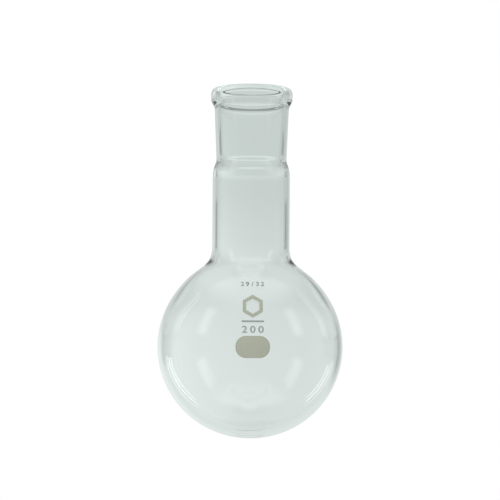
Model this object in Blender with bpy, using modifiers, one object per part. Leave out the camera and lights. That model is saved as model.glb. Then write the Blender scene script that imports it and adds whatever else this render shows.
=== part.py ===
"""A 200 mL round bottom flask with one ground joint socket, 29/32, and its fired enamel marks.

The glass is a blown blank, with a bulb, a shoulder and a straight neck, and a socket.
The socket is a tapered tube with a beaded rim, welded to the top of the neck.
The blank is one piece of glass. Here it is split at two level planes into its three zones.
The profile of the glass is an outer and an inner curve from the rim to the axis, cut into zones.
Enamel marks are fired onto the front of the bulb, at -Y.

Units are metres and +Z is up. The origin is on the axis, at the lowest point of the bulb.
"""

from math import asin, cos, pi, radians, sin

import bmesh
import bpy

# Bulb: a slightly flattened sphere.
BULB_RADIUS = 0.0405
BULB_HALF_HEIGHT = 0.0400
BULB_WALL = 0.0020
BULB_BOTTOM_WALL = 0.0024

# Neck: a straight tube that flows into the bulb.
NECK_RADIUS = 0.0170
NECK_WALL = 0.0020
NECK_ROOT_Z = 0.0835
FLARE_END_Z = 0.0591
FLARE_NECK_HANDLE = 0.0109
FLARE_BULB_HANDLE = 0.0188

# The zones meet at level planes, at the shoulder's foot, the neck's root and the weld.
SHOULDER_FOOT_Z = 0.0680
JOIN_GAP = 0.0003

# Ground joint 29/32: 29.2 mm at the wide end, 32 mm long, taper 1 in 10 on the diameter.
JOINT_WIDE_RADIUS = 0.0146
JOINT_LENGTH = 0.0320
JOINT_TAPER = 0.05
TOTAL_HEIGHT = 0.1535

# Weld: the neck's top is drawn in to meet the socket, with a soft corner outside.
# Inside, the bore widens from the joint's foot to the neck.
WELD_Z = TOTAL_HEIGHT - JOINT_LENGTH
WELD_RADIUS = 0.01545
WELD_CORNER = 0.0013
NECK_TOP_Z = 0.1140
JOINT_FOOT_Z = 0.1230
INNER_NECK_TOP_Z = 0.1160
INNER_FLARE_HANDLE = 0.0030

# Socket: a tapered tube. Round its rim there is a bead, a fine groove and a softer roll below it.
SOCKET_TOP_RADIUS = 0.0164
RIM_RADIUS = 0.0160
RIM_FLAT = 0.0008
MOUTH_EDGE_Z = 0.1518
BEAD_RADIUS = 0.01805
BEAD_WIDEST_Z = 0.1505
LIP_RADIUS = 0.0179
LIP_Z = 0.1484
GROOVE_RADIUS = 0.0176
GROOVE_Z = 0.1481
ROLL_RADIUS = 0.01785
ROLL_HANDLE = 0.0011
ROLL_FOOT_Z = 0.1449

# Enamel marks, as shells that follow the bulb.
ENAMEL_GAP = 0.0003
ENAMEL_THICKNESS = 0.0003
PATCH_WIDTH = 0.0142
PATCH_HEIGHT = 0.0091
PATCH_CORNER = 0.0043
PATCH_Z = 0.0403
CAPACITY_HEIGHT = 0.0029
CAPACITY_PITCH = 0.0034
CAPACITY_Z = 0.0474
RULE_WIDTH = 0.0094
RULE_HEIGHT = 0.0007
RULE_Z = 0.0509
BADGE_RADIUS = 0.0048
BADGE_BAND = 0.0016
BADGE_Z = 0.0572
SIZE_HEIGHT = 0.0018
SIZE_PITCH = 0.0021
SIZE_Z = 0.0665
STROKE_GROWTH = 0.00005
NUMERAL_STRETCH = 1.2
FONT_NUMERAL_HEIGHT = 0.73

# Fineness of the shapes, the depth of a mark's outline before it is cut to the bulb,
# and the distance under which two points are one.
TURN_STEPS = 48
SHELL_STEPS = 96
FLARE_POINTS = 10
BULB_POINTS = 18
DOME_POINTS = 5
BEND_POINTS = 6
EDGE_POINTS = 4
PATCH_CORNER_POINTS = 6
RULE_END_POINTS = 3
NUMERAL_RESOLUTION = 3
MARK_DEPTH = 0.030
SAME_POINT = 0.000001

GLASS_IOR = 1.47


def clear_scene():
    for obj in list(bpy.data.objects):
        bpy.data.objects.remove(obj, do_unlink=True)


def new_collection(name):
    collection = bpy.data.collections.new(name)
    bpy.context.scene.collection.children.link(collection)
    return collection


def principled(name, color, roughness, transmission=0.0):
    material = bpy.data.materials.new(name)
    material.use_nodes = True
    shader = material.node_tree.nodes["Principled BSDF"]
    shader.inputs["Base Color"].default_value = (*color, 1.0)
    shader.inputs["Roughness"].default_value = roughness
    shader.inputs["Metallic"].default_value = 0.0
    shader.inputs["Transmission Weight"].default_value = transmission
    shader.inputs["IOR"].default_value = GLASS_IOR
    material.diffuse_color = (*color, 1.0)
    return material


def arc(centre, radii, start, end, count):
    """Points of an elliptical arc in the X-Z plane, both ends included, with angles in degrees."""
    points = []
    for step in range(count + 1):
        angle = radians(start + (end - start) * step / count)
        points.append((centre[0] + radii[0] * cos(angle), centre[1] + radii[1] * sin(angle)))
    return points


def bezier(first, handle_a, handle_b, last, count):
    """Points of a cubic curve, without its first point."""
    points = []
    for step in range(1, count + 1):
        t = step / count
        u = 1 - t
        weights = (u**3, 3 * u * u * t, 3 * u * t * t, t**3)
        corners = (first, handle_a, handle_b, last)
        points.append(tuple(sum(w * c[i] for w, c in zip(weights, corners)) for i in (0, 1)))
    return points


def flare_and_bulb(neck_radius, bulb_radius, half_height):
    """From the foot of the straight neck, through a flare tangent to both, down the bulb to the axis."""
    start = asin((FLARE_END_Z - BULB_HALF_HEIGHT) / half_height)
    end = (bulb_radius * cos(start), FLARE_END_Z)
    run, rise = -bulb_radius * sin(start), half_height * cos(start)
    reach = FLARE_BULB_HANDLE / (run * run + rise * rise) ** 0.5
    neck_handle = (neck_radius, NECK_ROOT_Z - FLARE_NECK_HANDLE)
    bulb_handle = (end[0] + reach * run, end[1] + reach * rise)
    points = [(neck_radius, NECK_ROOT_Z)]
    points += bezier(points[0], neck_handle, bulb_handle, end, FLARE_POINTS)
    centre = (0.0, BULB_HALF_HEIGHT)
    points += arc(centre, (bulb_radius, half_height), start * 180 / pi, -90, BULB_POINTS)[1:]
    points[-1] = (0.0, BULB_HALF_HEIGHT - half_height)
    return points


def grown(curve, distance):
    """A curve that runs down the flask's outer side, moved outwards by a distance."""
    points = []
    for index, (x, z) in enumerate(curve):
        before = curve[max(index - 1, 0)]
        after = curve[min(index + 1, len(curve) - 1)]
        run, rise = after[0] - before[0], after[1] - before[1]
        length = (run * run + rise * rise) ** 0.5
        points.append((x - distance * rise / length, z + distance * run / length))
    points[-1] = (0.0, curve[-1][1] - distance)
    return points


def turned(name, profile, collection, steps):
    """A profile turned about the Z axis. Its outer side runs from top to bottom.

    One that starts on the axis ends there too, and any other is joined up into a loop.
    """
    mesh = bpy.data.meshes.new(name)
    edges = [(i, i + 1) for i in range(len(profile) - 1)]
    if profile[0][0] > 0:
        edges.append((len(profile) - 1, 0))
    mesh.from_pydata([(x, 0.0, z) for x, z in profile], edges, [])
    obj = bpy.data.objects.new(name, mesh)
    collection.objects.link(obj)
    screw = obj.modifiers.new("turn", "SCREW")
    screw.steps = steps
    screw.render_steps = steps
    screw.use_merge_vertices = True
    screw.merge_threshold = SAME_POINT
    screw.use_smooth_shade = True
    return obj


def neck_dome():
    """The neck's top, drawn in on an arc from the weld down to the straight neck."""
    rise = WELD_Z - NECK_TOP_Z
    inset = NECK_RADIUS - WELD_RADIUS
    bend = (rise * rise + inset * inset) / (2 * inset)
    points = []
    for step in range(DOME_POINTS + 1):
        height = rise * (1 - step / DOME_POINTS)
        points.append((NECK_RADIUS - bend + (bend * bend - height * height) ** 0.5, NECK_TOP_Z + height))
    return points


def rim_and_bead():
    """From the rim's flat top, over the bead, the groove and the roll, to the top of the tube."""
    rim_outer = RIM_RADIUS + RIM_FLAT / 2
    crown = (rim_outer, BEAD_WIDEST_Z)
    points = arc(crown, (BEAD_RADIUS - rim_outer, TOTAL_HEIGHT - BEAD_WIDEST_Z), 90, 0, BEND_POINTS)
    points += [(LIP_RADIUS, LIP_Z), (GROOVE_RADIUS, GROOVE_Z)]
    foot = (SOCKET_TOP_RADIUS, ROLL_FOOT_Z)
    roll_handle = (ROLL_RADIUS, GROOVE_Z - ROLL_HANDLE)
    foot_handle = (SOCKET_TOP_RADIUS, ROLL_FOOT_Z + ROLL_HANDLE)
    return points + bezier(points[-1], roll_handle, foot_handle, foot, BEND_POINTS)


def outer_curve():
    """The outside of the glass, from the rim's top down to the axis."""
    dome = neck_dome()
    corner_end = [point for point in dome if point[1] < WELD_Z - WELD_CORNER]
    corner_start = (WELD_RADIUS, WELD_Z + WELD_CORNER)
    corner = (WELD_RADIUS, WELD_Z)
    points = rim_and_bead() + [corner_start]
    points += bezier(corner_start, corner, corner, corner_end[0], EDGE_POINTS)
    points += corner_end[1:] + flare_and_bulb(NECK_RADIUS, BULB_RADIUS, BULB_HALF_HEIGHT)
    return points


def inner_curve():
    """The inside of the glass, from the rim's top down to the axis."""
    rim_inner = RIM_RADIUS - RIM_FLAT / 2
    joint_top = JOINT_WIDE_RADIUS - (TOTAL_HEIGHT - MOUTH_EDGE_Z) * JOINT_TAPER
    joint_foot = JOINT_WIDE_RADIUS - (TOTAL_HEIGHT - JOINT_FOOT_Z) * JOINT_TAPER
    neck = NECK_RADIUS - NECK_WALL
    edge_radii = (rim_inner - joint_top, TOTAL_HEIGHT - MOUTH_EDGE_Z)
    points = arc((rim_inner, MOUTH_EDGE_Z), edge_radii, 90, 180, EDGE_POINTS)
    points.append((joint_foot, JOINT_FOOT_Z))
    foot_handle = (joint_foot, JOINT_FOOT_Z - INNER_FLARE_HANDLE)
    neck_handle = (neck, INNER_NECK_TOP_Z + INNER_FLARE_HANDLE)
    points += bezier(points[-1], foot_handle, neck_handle, (neck, INNER_NECK_TOP_Z), BEND_POINTS)
    points += flare_and_bulb(neck, BULB_RADIUS - BULB_WALL, BULB_HALF_HEIGHT - BULB_BOTTOM_WALL)
    return points


def between(curve, top_z, bottom_z):
    """The stretch of a falling curve between two heights, cut where it crosses them."""
    points = []
    for (x0, z0), (x1, z1) in zip(curve, curve[1:]):
        high, low = min(z0, top_z), max(z1, bottom_z)
        if high <= low:
            continue
        for z in (high, low):
            point = (x0 + (x1 - x0) * (z0 - z) / (z0 - z1), z)
            if not points or points[-1][1] - z > SAME_POINT:
                points.append(point)
    return points


def make_glass(collection, glass):
    inner, outer = inner_curve(), outer_curve()
    half_gap = JOIN_GAP / 2
    zones = {
        "joint_socket": (TOTAL_HEIGHT, WELD_Z + half_gap),
        "neck": (WELD_Z - half_gap, NECK_ROOT_Z + half_gap),
        "shoulder": (NECK_ROOT_Z - half_gap, SHOULDER_FOOT_Z + half_gap),
        "bulb": (SHOULDER_FOOT_Z - half_gap, 0.0),
    }
    for name, (top_z, bottom_z) in zones.items():
        profile = between(inner, top_z, bottom_z)[::-1] + between(outer, top_z, bottom_z)
        zone = turned(name, profile, collection, TURN_STEPS)
        zone.data.materials.append(glass)


def as_mesh(obj, collection):
    """A mesh object in place of a curve or a text, with its caps welded."""
    bpy.context.view_layer.update()
    graph = bpy.context.evaluated_depsgraph_get()
    mesh = bpy.data.meshes.new_from_object(obj.evaluated_get(graph))
    edit = bmesh.new()
    edit.from_mesh(mesh)
    bmesh.ops.remove_doubles(edit, verts=edit.verts, dist=SAME_POINT)
    edit.to_mesh(mesh)
    edit.free()
    made = bpy.data.objects.new(obj.name + "_prism", mesh)
    made.matrix_world = obj.matrix_world.copy()
    collection.objects.link(made)
    bpy.data.objects.remove(obj, do_unlink=True)
    return made


def outline_curve(name, points, holes=()):
    """A flat filled outline facing -Y, extruded along Y through the front of the bulb."""
    curve = bpy.data.curves.new(name, "CURVE")
    curve.dimensions = "2D"
    curve.fill_mode = "BOTH"
    curve.extrude = MARK_DEPTH / 2
    for loop in (points, *holes):
        spline = curve.splines.new("POLY")
        spline.points.add(len(loop) - 1)
        for point, (x, z) in zip(spline.points, loop):
            point.co = (x, z, 0.0, 1.0)
        spline.use_cyclic_u = True
    return bpy.data.objects.new(name, curve)


def text_curve(name, body, height):
    """One numeral of the built-in font, made wider but not higher."""
    curve = bpy.data.curves.new(name, "FONT")
    curve.body = body
    curve.align_x = "CENTER"
    curve.align_y = "CENTER"
    curve.size = height / FONT_NUMERAL_HEIGHT
    curve.offset = STROKE_GROWTH
    curve.resolution_u = NUMERAL_RESOLUTION
    curve.extrude = MARK_DEPTH / 2
    text = bpy.data.objects.new(name, curve)
    text.scale.x = NUMERAL_STRETCH
    return text


def cutting_shell(name, distance, collection):
    """The body's outside below the neck, grown by a distance."""
    curve = grown(flare_and_bulb(NECK_RADIUS, BULB_RADIUS, BULB_HALF_HEIGHT), distance)
    shell = turned(name, [(0.0, curve[0][1]), *curve], collection, SHELL_STEPS)
    shell.hide_render = True
    shell.display_type = "WIRE"
    return shell


def make_mark(shape, x, z, collection, shells, material):
    """An outline or a numeral, kept only between the two shells over the bulb's front."""
    name = shape.name
    shape.rotation_euler = (pi / 2, 0.0, 0.0)
    shape.location = (x, -BULB_RADIUS, z)
    collection.objects.link(shape)
    mark = as_mesh(shape, collection)
    mark.name = name
    for operation, shell in zip(("INTERSECT", "DIFFERENCE"), shells):
        cut = mark.modifiers.new(operation.lower(), "BOOLEAN")
        cut.operation = operation
        cut.object = shell
        cut.solver = "EXACT"
    mark.data.materials.append(material)
    return mark


def rounded_rectangle(width, height, corner, count):
    points = []
    for side_x, side_z, start in ((1, 1, 0), (-1, 1, 90), (-1, -1, 180), (1, -1, 270)):
        centre = (side_x * (width / 2 - corner), side_z * (height / 2 - corner))
        points += arc(centre, (corner, corner), start, start + 90, count)
    return points


def hexagon(radius):
    return [(radius * sin(k * pi / 3), radius * cos(k * pi / 3)) for k in range(6)]


def make_marks(collection, cutters, enamel, ink):
    shells = (
        cutting_shell("enamel_outer_shell", ENAMEL_GAP + ENAMEL_THICKNESS, cutters),
        cutting_shell("enamel_inner_shell", ENAMEL_GAP, cutters),
    )
    outline = rounded_rectangle(PATCH_WIDTH, PATCH_HEIGHT, PATCH_CORNER, PATCH_CORNER_POINTS)
    patch = outline_curve("writing_patch", outline)
    make_mark(patch, 0.0, PATCH_Z, collection, shells, enamel)
    for index, digit in enumerate("200"):
        shape = text_curve(f"capacity_digit_{index + 1}", digit, CAPACITY_HEIGHT)
        make_mark(shape, (index - 1) * CAPACITY_PITCH, CAPACITY_Z, collection, shells, ink)
    outline = rounded_rectangle(RULE_WIDTH, RULE_HEIGHT, RULE_HEIGHT / 2, RULE_END_POINTS)
    rule = outline_curve("divider_rule", outline)
    make_mark(rule, 0.0, RULE_Z, collection, shells, ink)
    badge = outline_curve("hexagon_badge", hexagon(BADGE_RADIUS), [hexagon(BADGE_RADIUS - BADGE_BAND)])
    make_mark(badge, 0.0, BADGE_Z, collection, shells, enamel)
    for index, (part, glyph) in enumerate(
        (("digit_1", "2"), ("digit_2", "9"), ("stroke", "/"), ("digit_3", "3"), ("digit_4", "2"))
    ):
        shape = text_curve(f"joint_size_{part}", glyph, SIZE_HEIGHT)
        make_mark(shape, (index - 2) * SIZE_PITCH, SIZE_Z, collection, shells, ink)


def main():
    clear_scene()
    parts = new_collection("round_bottom_flask")
    cutters = new_collection("cutters")
    cutters.hide_render = True
    glass = principled("clear_glass", (0.86, 0.90, 0.88), 0.02, transmission=1.0)
    enamel = principled("grey_enamel", (0.40, 0.41, 0.33), 0.55)
    ink = principled("dark_grey_ink", (0.33, 0.34, 0.32), 0.55)
    make_glass(parts, glass)
    make_marks(parts, cutters, enamel, ink)


main()
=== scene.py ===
from math import asin, cos, pi, radians, sin

import bmesh
import bpy
from mathutils import Euler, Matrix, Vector


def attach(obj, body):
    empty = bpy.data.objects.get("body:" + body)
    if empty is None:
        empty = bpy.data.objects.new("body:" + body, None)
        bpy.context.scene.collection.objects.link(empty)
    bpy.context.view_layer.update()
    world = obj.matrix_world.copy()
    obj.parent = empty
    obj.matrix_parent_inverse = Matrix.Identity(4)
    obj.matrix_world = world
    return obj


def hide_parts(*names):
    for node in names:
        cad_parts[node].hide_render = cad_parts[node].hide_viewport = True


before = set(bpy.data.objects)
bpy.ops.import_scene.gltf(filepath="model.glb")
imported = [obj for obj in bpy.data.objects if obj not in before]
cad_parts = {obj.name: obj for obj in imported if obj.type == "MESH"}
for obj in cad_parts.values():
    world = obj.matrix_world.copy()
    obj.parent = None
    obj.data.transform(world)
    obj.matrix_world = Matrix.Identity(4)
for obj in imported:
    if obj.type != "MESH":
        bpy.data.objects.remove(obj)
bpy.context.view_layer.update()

# Camera: level with the bulb, far back, turned a little round the flask from the marks' middle.
CAMERA_DISTANCE = 0.680
CAMERA_HEIGHT = 0.048
CAMERA_SIDE = -0.00033
CAMERA_TURN = radians(1.56)
CAMERA_ROLL = radians(0.43)
AIM_HEIGHT = 0.0824
VIEW_WIDTH = 0.220
SENSOR_WIDTH = 36.0

# Bulb and neck.
BULB_RADIUS = 0.0405
BULB_HALF_HEIGHT = 0.0400
BULB_WALL = 0.0020
BULB_BOTTOM_WALL = 0.0024
NECK_RADIUS = 0.0170
NECK_WALL = 0.0020
NECK_ROOT_Z = 0.0835
FLARE_END_Z = 0.0591
FLARE_NECK_HANDLE = 0.0109
FLARE_BULB_HANDLE = 0.0188

# Ground joint 29/32, and the weld below it.
JOINT_WIDE_RADIUS = 0.0146
JOINT_LENGTH = 0.0320
JOINT_TAPER = 0.05
TOTAL_HEIGHT = 0.1535
WELD_Z = TOTAL_HEIGHT - JOINT_LENGTH
WELD_RADIUS = 0.01545
WELD_CORNER = 0.0013
NECK_TOP_Z = 0.1140
JOINT_FOOT_Z = 0.1230
INNER_NECK_TOP_Z = 0.1160
INNER_FLARE_HANDLE = 0.0030

# Rim: a flat top, a bead, a fine groove and a softer roll.
SOCKET_TOP_RADIUS = 0.0164
RIM_RADIUS = 0.0160
RIM_FLAT = 0.0008
MOUTH_EDGE_Z = 0.1518
BEAD_RADIUS = 0.01805
BEAD_WIDEST_Z = 0.1505
LIP_RADIUS = 0.0179
LIP_Z = 0.1484
GROOVE_RADIUS = 0.0176
GROOVE_Z = 0.1481
ROLL_RADIUS = 0.01785
ROLL_HANDLE = 0.0011
ROLL_FOOT_Z = 0.1449

# Enamel marks.
PATCH_WIDTH = 0.0142
PATCH_HEIGHT = 0.0091
PATCH_CORNER = 0.0043
PATCH_Z = 0.0403
PATCH_EDGE = 0.0003
CAPACITY_HEIGHT = 0.0029
CAPACITY_PITCH = 0.0034
CAPACITY_Z = 0.0474
RULE_WIDTH = 0.0094
RULE_HEIGHT = 0.0007
RULE_Z = 0.0509
BADGE_RADIUS = 0.0048
BADGE_BAND = 0.0016
BADGE_Z = 0.0572
SIZE_HEIGHT = 0.0018
SIZE_PITCH = 0.0021
SIZE_Z = 0.0665
STROKE_GROWTH = 0.00005
NUMERAL_STRETCH = 1.2
FONT_NUMERAL_HEIGHT = 0.73
PRINT_THICKNESS = 0.00006
PRINT_SINK = 0.00002
PRINT_DIVISIONS = 0.0004
PRINT_DIVIDING_ROUNDS = 6
PATCH_CORNER_POINTS = 16
RULE_END_POINTS = 6
NUMERAL_RESOLUTION = 8

# Enamel: colours at the light and the dark end of the grain.
GREY_LIGHT = (0.42, 0.42, 0.34)
BADGE_LIGHT = (0.40, 0.40, 0.33)
GREY_DARK = (0.38, 0.385, 0.31)
BADGE_DARK = (0.36, 0.365, 0.30)
INK_LIGHT = (0.30, 0.31, 0.295)
INK_DARK = (0.26, 0.27, 0.255)
GRAIN_SCALE = 5200.0
GRAIN_DETAIL = 3.0
GRAIN_ROUGHNESS = 0.6
GRAIN_SHARE = 0.6
MOTTLE_SCALE = 700.0
DARK_STOP = 0.36
LIGHT_STOP = 0.62
EDGE_SHADE = 0.8
GRAIN_LOW = 0.3
GRAIN_HIGH = 0.7
SMOOTHEST_ENAMEL = 0.50
ROUGHEST_ENAMEL = 0.68
GRAIN_BUMP_STRENGTH = 0.25
GRAIN_BUMP_HEIGHT = 0.00002

# Glass: its colour goes from the foot colour to the shaded top colour between two shares of the height.
# The darker, greener top is painted shade that stands in for the studio's reflections in the glass.
GLASS_IOR = 1.47
GLASS_FOOT_COLOR = (0.985, 0.993, 0.990)
GLASS_SHADED_TOP_COLOR = (0.965, 0.982, 0.976)
FOOT_COLOR_STOP = 0.3
TOP_COLOR_STOP = 0.75

# Fineness of the glass.
TURN_STEPS = 192
MOUTH_POINTS = 12
CROWN_POINTS = 20
ROLL_POINTS = 20
LIP_POINTS = 4
TUBE_POINTS = 24
CORNER_POINTS = 10
DOME_POINTS = 24
FLARE_POINTS = 40
BULB_POINTS = 100
SAME_POINT = 0.000001


def arc(centre, radii, start, end, count):
    """Points of an elliptical arc in the X-Z plane, both ends included, with angles in degrees."""
    points = []
    for step in range(count + 1):
        angle = radians(start + (end - start) * step / count)
        points.append((centre[0] + radii[0] * cos(angle), centre[1] + radii[1] * sin(angle)))
    return points


def bezier(first, handle_a, handle_b, last, count):
    """Points of a cubic curve, without its first point."""
    points = []
    for step in range(1, count + 1):
        t = step / count
        u = 1 - t
        weights = (u**3, 3 * u * u * t, 3 * u * t * t, t**3)
        corners = (first, handle_a, handle_b, last)
        points.append(tuple(sum(w * c[i] for w, c in zip(weights, corners)) for i in (0, 1)))
    return points


def straight(first, last, count):
    """Points of a straight line, without its first point."""
    return [tuple(a + (b - a) * k / count for a, b in zip(first, last)) for k in range(1, count + 1)]


def flare_and_bulb(neck_radius, bulb_radius, half_height):
    """From the foot of the straight neck, through a flare tangent to both, down the bulb to the axis."""
    start = asin((FLARE_END_Z - BULB_HALF_HEIGHT) / half_height)
    end = (bulb_radius * cos(start), FLARE_END_Z)
    run, rise = -bulb_radius * sin(start), half_height * cos(start)
    reach = FLARE_BULB_HANDLE / (run * run + rise * rise) ** 0.5
    neck_handle = (neck_radius, NECK_ROOT_Z - FLARE_NECK_HANDLE)
    bulb_handle = (end[0] + reach * run, end[1] + reach * rise)
    points = [(neck_radius, NECK_ROOT_Z)]
    points += bezier(points[0], neck_handle, bulb_handle, end, FLARE_POINTS)
    centre = (0.0, BULB_HALF_HEIGHT)
    points += arc(centre, (bulb_radius, half_height), start * 180 / pi, -90, BULB_POINTS)[1:]
    points[-1] = (0.0, BULB_HALF_HEIGHT - half_height)
    return points


def neck_dome():
    """The neck's top, drawn in on an arc from the weld down to the straight neck."""
    rise = WELD_Z - NECK_TOP_Z
    inset = NECK_RADIUS - WELD_RADIUS
    bend = (rise * rise + inset * inset) / (2 * inset)
    points = []
    for step in range(DOME_POINTS + 1):
        height = rise * (1 - step / DOME_POINTS)
        points.append((NECK_RADIUS - bend + (bend * bend - height * height) ** 0.5, NECK_TOP_Z + height))
    return points


def rim_and_bead():
    """From the rim's flat top, over the bead, the groove and the roll, to the top of the tube."""
    rim_outer = RIM_RADIUS + RIM_FLAT / 2
    crown = (rim_outer, BEAD_WIDEST_Z)
    points = arc(crown, (BEAD_RADIUS - rim_outer, TOTAL_HEIGHT - BEAD_WIDEST_Z), 90, 0, CROWN_POINTS)
    lip, groove = (LIP_RADIUS, LIP_Z), (GROOVE_RADIUS, GROOVE_Z)
    points += straight(points[-1], lip, LIP_POINTS)
    points += bezier(lip, (LIP_RADIUS, GROOVE_Z), (LIP_RADIUS, GROOVE_Z), groove, LIP_POINTS)
    foot = (SOCKET_TOP_RADIUS, ROLL_FOOT_Z)
    roll_handle = (ROLL_RADIUS, GROOVE_Z - ROLL_HANDLE)
    foot_handle = (SOCKET_TOP_RADIUS, ROLL_FOOT_Z + ROLL_HANDLE)
    return points + bezier(groove, roll_handle, foot_handle, foot, ROLL_POINTS)


def outer_curve():
    """The outside of the glass, from the rim's top down to the axis."""
    dome = neck_dome()
    corner_end = [point for point in dome if point[1] < WELD_Z - WELD_CORNER]
    corner_start = (WELD_RADIUS, WELD_Z + WELD_CORNER)
    corner = (WELD_RADIUS, WELD_Z)
    points = rim_and_bead()
    points += straight(points[-1], corner_start, TUBE_POINTS)
    points += bezier(corner_start, corner, corner, corner_end[0], CORNER_POINTS)
    points += corner_end[1:]
    blown = flare_and_bulb(NECK_RADIUS, BULB_RADIUS, BULB_HALF_HEIGHT)
    return points + straight(points[-1], blown[0], TUBE_POINTS) + blown[1:]


def inner_curve():
    """The inside of the glass, from the rim's top down to the axis."""
    rim_inner = RIM_RADIUS - RIM_FLAT / 2
    joint_top = JOINT_WIDE_RADIUS - (TOTAL_HEIGHT - MOUTH_EDGE_Z) * JOINT_TAPER
    joint_foot = JOINT_WIDE_RADIUS - (TOTAL_HEIGHT - JOINT_FOOT_Z) * JOINT_TAPER
    neck = NECK_RADIUS - NECK_WALL
    edge_radii = (rim_inner - joint_top, TOTAL_HEIGHT - MOUTH_EDGE_Z)
    points = arc((rim_inner, MOUTH_EDGE_Z), edge_radii, 90, 180, MOUTH_POINTS)
    points += straight(points[-1], (joint_foot, JOINT_FOOT_Z), TUBE_POINTS)
    foot_handle = (joint_foot, JOINT_FOOT_Z - INNER_FLARE_HANDLE)
    neck_handle = (neck, INNER_NECK_TOP_Z + INNER_FLARE_HANDLE)
    points += bezier(points[-1], foot_handle, neck_handle, (neck, INNER_NECK_TOP_Z), TUBE_POINTS)
    blown = flare_and_bulb(neck, BULB_RADIUS - BULB_WALL, BULB_HALF_HEIGHT - BULB_BOTTOM_WALL)
    return points + straight(points[-1], blown[0], TUBE_POINTS) + blown[1:]


def turned(name, profile):
    """A profile turned about the Z axis. It runs from the axis up the inside and down the outside."""
    mesh = bpy.data.meshes.new(name)
    edges = [(i, i + 1) for i in range(len(profile) - 1)]
    mesh.from_pydata([(x, 0.0, z) for x, z in profile], edges, [])
    obj = bpy.data.objects.new(name, mesh)
    bpy.context.scene.collection.objects.link(obj)
    screw = obj.modifiers.new("turn", "SCREW")
    screw.steps = TURN_STEPS
    screw.render_steps = TURN_STEPS
    screw.use_merge_vertices = True
    screw.merge_threshold = SAME_POINT
    screw.use_smooth_shade = True
    return obj


class Nodes:
    """Short calls for building a node tree."""

    def __init__(self, owner):
        owner.use_nodes = True
        self.tree = owner.node_tree

    def add(self, kind, **settings):
        node = self.tree.nodes.new(kind)
        for key, value in settings.items():
            setattr(node, key, value)
        return node

    def put(self, socket, value):
        if isinstance(value, bpy.types.NodeSocket):
            self.tree.links.new(value, socket)
        else:
            socket.default_value = value

    def math(self, operation, *values):
        node = self.add("ShaderNodeMath", operation=operation)
        for socket, value in zip(node.inputs, values):
            self.put(socket, value)
        return node.outputs[0]

    def smooth_range(self, value, low, high, to_low, to_high, kind="SMOOTHSTEP"):
        node = self.add("ShaderNodeMapRange", interpolation_type=kind)
        names = ("Value", "From Min", "From Max", "To Min", "To Max")
        for name, setting in zip(names, (value, low, high, to_low, to_high)):
            self.put(node.inputs[name], setting)
        return node.outputs[0]

    def noise(self, vector, scale, detail=2.0, roughness=0.5):
        node = self.add("ShaderNodeTexNoise")
        self.put(node.inputs["Vector"], vector)
        node.inputs["Scale"].default_value = scale
        node.inputs["Detail"].default_value = detail
        node.inputs["Roughness"].default_value = roughness
        return node.outputs["Fac"]

    def ramp(self, value, stops):
        node = self.add("ShaderNodeValToRGB")
        self.put(node.inputs[0], value)
        elements = node.color_ramp.elements
        while len(elements) < len(stops):
            elements.new(0.5)
        for element, (position, color) in zip(elements, stops):
            element.position = position
            element.color = (*color, 1.0)
        return node.outputs[0]


def glass_material():
    """Clear borosilicate, with painted shade: a little darker and greener towards the joint."""
    material = bpy.data.materials.new("flask_glass")
    nodes = Nodes(material)
    shader = nodes.tree.nodes["Principled BSDF"]
    shader.inputs["Transmission Weight"].default_value = 1.0
    shader.inputs["Roughness"].default_value = 0.0
    shader.inputs["IOR"].default_value = GLASS_IOR
    place = nodes.add("ShaderNodeTexCoord").outputs["Object"]
    axes = nodes.add("ShaderNodeSeparateXYZ")
    nodes.put(axes.inputs[0], place)
    height = nodes.smooth_range(axes.outputs["Z"], 0.0, TOTAL_HEIGHT, 0.0, 1.0, "LINEAR")
    # Painted shade: the top end of this ramp is darker and greener, standing in for the studio's
    # reflections in the glass.
    stops = ((FOOT_COLOR_STOP, GLASS_FOOT_COLOR), (TOP_COLOR_STOP, GLASS_SHADED_TOP_COLOR))
    nodes.put(shader.inputs["Base Color"], nodes.ramp(height, stops))
    return material


def make_glass():
    flask = turned("flask_glass", inner_curve()[::-1] + outer_curve()[1:])
    flask.data.materials.append(glass_material())
    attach(flask, "root")
    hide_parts("bulb", "shoulder", "neck", "joint_socket")
    return flask


def outline_curve(points, holes=()):
    """A flat filled outline."""
    curve = bpy.data.curves.new("outline", "CURVE")
    curve.dimensions = "2D"
    curve.fill_mode = "BOTH"
    for loop in (points, *holes):
        spline = curve.splines.new("POLY")
        spline.points.add(len(loop) - 1)
        for point, (x, z) in zip(spline.points, loop):
            point.co = (x, z, 0.0, 1.0)
        spline.use_cyclic_u = True
    return bpy.data.objects.new("outline", curve)


def text_curve(body, height):
    """One numeral of the built-in font, made wider but not higher."""
    curve = bpy.data.curves.new("numeral", "FONT")
    curve.body = body
    curve.align_x = "CENTER"
    curve.align_y = "CENTER"
    curve.size = height / FONT_NUMERAL_HEIGHT
    curve.offset = STROKE_GROWTH
    curve.resolution_u = NUMERAL_RESOLUTION
    text = bpy.data.objects.new("numeral", curve)
    text.scale.x = NUMERAL_STRETCH
    return text


def rounded_rectangle(width, height, corner, count):
    points = []
    for side_x, side_z, start in ((1, 1, 0), (-1, 1, 90), (-1, -1, 180), (1, -1, 270)):
        centre = (side_x * (width / 2 - corner), side_z * (height / 2 - corner))
        points += arc(centre, (corner, corner), start, start + 90, count)
    return points


def hexagon(radius):
    return [(radius * sin(k * pi / 3), radius * cos(k * pi / 3)) for k in range(6)]


def radius_at(curve, z):
    """The radius of a falling curve at a height."""
    for (x0, z0), (x1, z1) in zip(curve, curve[1:]):
        if z0 >= z >= z1:
            return x0 + (x1 - x0) * (z0 - z) / (z0 - z1)
    return 0.0


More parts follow.
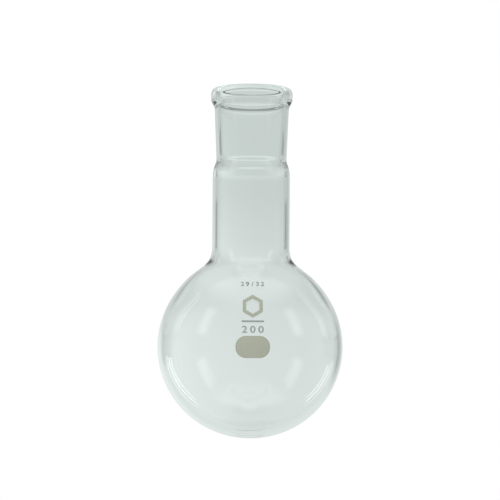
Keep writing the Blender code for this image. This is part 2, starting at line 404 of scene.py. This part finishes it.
def printed(node, shape, x, z, curve, material, slot):
    """A flat outline printed on the front of the bulb as a thin film of enamel."""
    bpy.context.scene.collection.objects.link(shape)
    bpy.context.view_layer.update()
    graph = bpy.context.evaluated_depsgraph_get()
    mesh = bpy.data.meshes.new_from_object(shape.evaluated_get(graph))
    stretch = shape.scale.x
    bpy.data.objects.remove(shape, do_unlink=True)
    edit = bmesh.new()
    edit.from_mesh(mesh)
    for vert in edit.verts:
        vert.co.x *= stretch
    bmesh.ops.remove_doubles(edit, verts=edit.verts, dist=SAME_POINT)
    bmesh.ops.triangulate(edit, faces=edit.faces)
    for _ in range(PRINT_DIVIDING_ROUNDS):
        long_edges = [edge for edge in edit.edges if edge.calc_length() > PRINT_DIVISIONS]
        if not long_edges:
            break
        bmesh.ops.subdivide_edges(edit, edges=long_edges, cuts=1)
        bmesh.ops.triangulate(edit, faces=edit.faces)
    for vert in edit.verts:
        side, height = x + vert.co.x, z + vert.co.y
        reach = radius_at(curve, height) - PRINT_SINK
        vert.co = (side, -((reach * reach - side * side) ** 0.5), height)
    bmesh.ops.recalc_face_normals(edit, faces=edit.faces)
    if sum(face.normal.y for face in edit.faces) > 0:
        bmesh.ops.reverse_faces(edit, faces=edit.faces)
    edit.to_mesh(mesh)
    edit.free()
    mesh.shade_smooth()
    piece = bpy.data.objects.new(node + "_print", mesh)
    bpy.context.scene.collection.objects.link(piece)
    film = piece.modifiers.new("film", "SOLIDIFY")
    film.thickness = PRINT_THICKNESS
    film.offset = 1.0
    mesh.materials.clear()
    mesh.materials.append(material)
    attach(piece, "root")
    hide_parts(node)
    return piece


def enamel_material(name, color, dark, edge=False):
    """Fired screen-printed enamel: matt, finely grained, with a faint mottle."""
    material = bpy.data.materials.new(name)
    nodes = Nodes(material)
    shader = nodes.tree.nodes["Principled BSDF"]
    place = nodes.add("ShaderNodeTexCoord").outputs["Object"]
    grain = nodes.noise(place, GRAIN_SCALE, GRAIN_DETAIL, GRAIN_ROUGHNESS)
    mottle = nodes.noise(place, MOTTLE_SCALE)
    grain_part = nodes.math("MULTIPLY", grain, GRAIN_SHARE)
    mottle_part = nodes.math("MULTIPLY", mottle, 1.0 - GRAIN_SHARE)
    amount = nodes.math("ADD", grain_part, mottle_part)
    tint = nodes.ramp(amount, ((DARK_STOP, dark), (LIGHT_STOP, color)))
    if edge:
        rim = nodes.add("ShaderNodeAttribute", attribute_name="rim")
        mix = nodes.add("ShaderNodeMix", data_type="RGBA")
        nodes.put(mix.inputs[0], rim.outputs["Fac"])
        nodes.put(mix.inputs[6], tint)
        mix.inputs[7].default_value = (*[c * EDGE_SHADE for c in dark], 1.0)
        tint = mix.outputs[2]
    nodes.put(shader.inputs["Base Color"], tint)
    limits = (GRAIN_LOW, GRAIN_HIGH, SMOOTHEST_ENAMEL, ROUGHEST_ENAMEL)
    nodes.put(shader.inputs["Roughness"], nodes.smooth_range(grain, *limits, "LINEAR"))
    bump = nodes.add("ShaderNodeBump")
    bump.inputs["Strength"].default_value = GRAIN_BUMP_STRENGTH
    bump.inputs["Distance"].default_value = GRAIN_BUMP_HEIGHT
    nodes.put(bump.inputs["Height"], grain)
    nodes.put(shader.inputs["Normal"], bump.outputs[0])
    return material


def rim_attribute(piece):
    """Marks how near each point of the patch is to its edge."""
    attribute = piece.data.attributes.new("rim", "FLOAT", "POINT")
    half_x, half_z = PATCH_WIDTH / 2 - PATCH_CORNER, PATCH_HEIGHT / 2 - PATCH_CORNER
    for index, vert in enumerate(piece.data.vertices):
        over_x = abs(vert.co.x) - half_x
        over_z = abs(vert.co.z - PATCH_Z) - half_z
        if over_x > 0 and over_z > 0:
            inside = PATCH_CORNER - (over_x * over_x + over_z * over_z) ** 0.5
        else:
            inside = PATCH_CORNER - max(over_x, over_z)
        attribute.data[index].value = max(0.0, 1.0 - inside / PATCH_EDGE)


def make_marks():
    curve = flare_and_bulb(NECK_RADIUS, BULB_RADIUS, BULB_HALF_HEIGHT)
    enamel = enamel_material("grey_enamel", BADGE_LIGHT, BADGE_DARK)
    patch_enamel = enamel_material("patch_enamel", GREY_LIGHT, GREY_DARK, True)
    ink = enamel_material("dark_enamel", INK_LIGHT, INK_DARK)
    corner = (PATCH_CORNER, PATCH_CORNER_POINTS)
    patch = outline_curve(rounded_rectangle(PATCH_WIDTH, PATCH_HEIGHT, *corner))
    rim_attribute(printed("writing_patch", patch, 0.0, PATCH_Z, curve, patch_enamel, "grey_enamel"))
    for index, digit in enumerate("200"):
        place = ((index - 1) * CAPACITY_PITCH, CAPACITY_Z)
        digit_curve = text_curve(digit, CAPACITY_HEIGHT)
        printed(f"capacity_digit_{index + 1}", digit_curve, *place, curve, ink, "dark_enamel")
    rule = outline_curve(rounded_rectangle(RULE_WIDTH, RULE_HEIGHT, RULE_HEIGHT / 2, RULE_END_POINTS))
    printed("divider_rule", rule, 0.0, RULE_Z, curve, ink, "dark_enamel")
    badge = outline_curve(hexagon(BADGE_RADIUS), [hexagon(BADGE_RADIUS - BADGE_BAND)])
    printed("hexagon_badge", badge, 0.0, BADGE_Z, curve, enamel, "grey_enamel")
    for index, (part, glyph) in enumerate(
        (("digit_1", "2"), ("digit_2", "9"), ("stroke", "/"), ("digit_3", "3"), ("digit_4", "2"))
    ):
        place = ((index - 2) * SIZE_PITCH, SIZE_Z)
        printed(f"joint_size_{part}", text_curve(glyph, SIZE_HEIGHT), *place, curve, ink, "dark_enamel")


def make_floor():
    """A white floor that only the camera sees."""
    bpy.ops.mesh.primitive_plane_add(size=FLOOR_SIZE, location=(0, 0, 0))
    floor = bpy.context.object
    floor.name = "floor"
    material = bpy.data.materials.new("floor_white")
    material.use_nodes = True
    shader = material.node_tree.nodes["Principled BSDF"]
    shader.inputs["Base Color"].default_value = (0, 0, 0, 1)
    shader.inputs["Specular IOR Level"].default_value = 0.0
    shader.inputs["Emission Color"].default_value = (1, 1, 1, 1)
    shader.inputs["Emission Strength"].default_value = 1.0
    floor.data.materials.append(material)
    floor.visible_transmission = False
    floor.visible_glossy = False
    floor.visible_diffuse = False


# Studio: radiance by elevation, then soft-edged panels at an azimuth and an elevation in degrees.
# Azimuth 0 is behind the flask, and positive is to the right.
SKY = (
    (-90, 0.48), (-50, 0.74), (-20, 0.78), (-8, 0.79),
    (2, 0.75), (5, 0.66), (12, 0.66), (25, 0.60), (90, 0.45),
)
PANELS = {
    # name: (azimuth, elevation, half width, half height, softness, radiance)
    "front_wall": (180, 10, 90, 100, 30, 0.62),
    "ceiling_front": (180, 76, 110, 20, 20, 1.25),
    "ceiling_top": (0, 90, 180, 10, 2, 1.25),
    "dark_behind_ceiling": (0, 73, 50, 6.5, 2, 0.20),
    "left_glow": (-15, -9, 12, 12, 12, 0.88),
    "right_dark_strip": (38, -2, 17, 10, 14, 0.46),
    "left_dark_strip": (-49, 0, 14, 9, 8, 0.44),
    "backdrop_line": (0, 8.3, 14, 0.7, 0.6, 0.80),
    "right_dark_patch": (29, 20, 6, 5, 7, 0.34),
    "left_dark_patch": (-27, 19, 5, 4, 7, 0.44),
    "upper_dark_backdrop": (0, 38, 14, 11, 2, 0.28),
    "stand_edge": (0, -21.5, 3, 1.0, 1, 0.35),
    "left_neck_line": (-43, 3.9, 6, 0.75, 0.3, 0.34),
    "right_neck_line": (41, 3.9, 6, 0.75, 0.3, 0.34),
    "left_joint_line": (-43, 6.5, 6, 1.7, 0.4, 0.60),
    "right_joint_line": (41, 6.5, 6, 1.7, 0.4, 0.60),
    "left_upper_softbox": (-113, 28, 5, 15, 8, 1.6),
    "left_lower_softbox": (-113, -30, 5, 16, 8, 1.6),
    "right_upper_softbox": (113, 28, 5, 15, 8, 1.5),
    "right_lower_softbox": (113, -30, 5, 16, 8, 1.5),
    "left_lamp": (-50, -25, 1.0, 19, 1.0, 2.2),
    "left_outer_lamp": (-58, -25, 1.2, 17, 1.0, 3.2),
    "right_lamp": (50, -24, 1.0, 16, 1, 2.2),
    "right_outer_lamp": (59, -26, 1.4, 14, 1.5, 2.8),
}
KEY_LIGHT_STRENGTH = 1.2
KEY_LIGHT_ANGLES = (radians(62), 0.0, radians(-20))
KEY_LIGHT_SPREAD = radians(60)
SKY_TINT = (0.92, 0.99, 0.97)
FLOOR_SIZE = 20.0
LIGHT_BOUNCES = 32


def make_world():
    """Pure white where the camera sees it, and a grey studio with panels for the glass and the enamel."""
    world = bpy.data.worlds.new("studio")
    bpy.context.scene.world = world
    nodes = Nodes(world)
    background = nodes.tree.nodes["Background"]
    axes = nodes.add("ShaderNodeSeparateXYZ")
    nodes.put(axes.inputs[0], nodes.add("ShaderNodeTexCoord").outputs["Generated"])
    degrees = 180 / pi
    around = nodes.math("ARCTAN2", axes.outputs["X"], axes.outputs["Y"])
    azimuth = nodes.math("MULTIPLY", nodes.math("SUBTRACT", around, CAMERA_TURN), degrees)
    elevation = nodes.math("MULTIPLY", nodes.math("ARCSINE", axes.outputs["Z"]), degrees)
    height = nodes.smooth_range(elevation, -90, 90, 0, 1, "LINEAR")
    light = nodes.ramp(height, [((angle + 90) / 180, (v, v, v)) for angle, v in SKY])
    for centre, level, half_width, half_height, soft, radiance in PANELS.values():
        turn = nodes.math("WRAP", nodes.math("SUBTRACT", azimuth, centre), 180, -180)
        across = nodes.math("ABSOLUTE", turn)
        up = nodes.math("ABSOLUTE", nodes.math("SUBTRACT", elevation, level))
        mask_x = nodes.smooth_range(across, half_width - soft / 2, half_width + soft / 2, 1, 0)
        mask_y = nodes.smooth_range(up, half_height - soft / 2, half_height + soft / 2, 1, 0)
        mix = nodes.add("ShaderNodeMix", data_type="RGBA")
        nodes.put(mix.inputs[0], nodes.math("MULTIPLY", mask_x, mask_y))
        nodes.put(mix.inputs[6], light)
        mix.inputs[7].default_value = (radiance, radiance, radiance, 1)
        light = mix.outputs[2]
    tint = nodes.add("ShaderNodeMix", data_type="RGBA", blend_type="MULTIPLY")
    tint.inputs[0].default_value = 1.0
    nodes.put(tint.inputs[6], light)
    tint.inputs[7].default_value = (*SKY_TINT, 1)
    seen = nodes.add("ShaderNodeMix", data_type="RGBA")
    nodes.put(seen.inputs[0], nodes.add("ShaderNodeLightPath").outputs["Is Camera Ray"])
    nodes.put(seen.inputs[6], tint.outputs[2])
    seen.inputs[7].default_value = (1, 1, 1, 1)
    nodes.put(background.inputs["Color"], seen.outputs[2])
    background.inputs["Strength"].default_value = 1.0


def make_camera():
    data = bpy.data.cameras.new("camera")
    camera = bpy.data.objects.new("camera", data)
    bpy.context.scene.collection.objects.link(camera)
    right = Vector((cos(CAMERA_TURN), -sin(CAMERA_TURN), 0.0))
    back = Vector((-sin(CAMERA_TURN), -cos(CAMERA_TURN), 0.0))
    aim = right * CAMERA_SIDE + Vector((0.0, 0.0, AIM_HEIGHT))
    place = right * CAMERA_SIDE + back * CAMERA_DISTANCE + Vector((0.0, 0.0, CAMERA_HEIGHT))
    look = (aim - place).to_track_quat("-Z", "Y")
    camera.location = place
    camera.rotation_mode = "QUATERNION"
    camera.rotation_quaternion = look @ Euler((0, 0, CAMERA_ROLL)).to_quaternion()
    data.sensor_width = SENSOR_WIDTH
    data.lens = SENSOR_WIDTH * (aim - place).length / VIEW_WIDTH
    bpy.context.scene.camera = camera


def make_key_light():
    """A wide soft light from the front that the glass doesn't mirror."""
    data = bpy.data.lights.new("key_light", "SUN")
    data.energy = KEY_LIGHT_STRENGTH
    data.angle = KEY_LIGHT_SPREAD
    light = bpy.data.objects.new("key_light", data)
    light.rotation_euler = KEY_LIGHT_ANGLES
    light.visible_glossy = False
    light.visible_transmission = False
    bpy.context.scene.collection.objects.link(light)


def set_light_paths():
    """Enough bounces for light to pass the many walls of the glass, and plain colours."""
    scene = bpy.context.scene
    scene.view_settings.view_transform = "Standard"
    for limit in ("max_bounces", "transmission_bounces", "glossy_bounces"):
        setattr(scene.cycles, limit, LIGHT_BOUNCES)


make_camera()
make_floor()
make_world()
make_key_light()
make_glass()
make_marks()
set_light_paths()
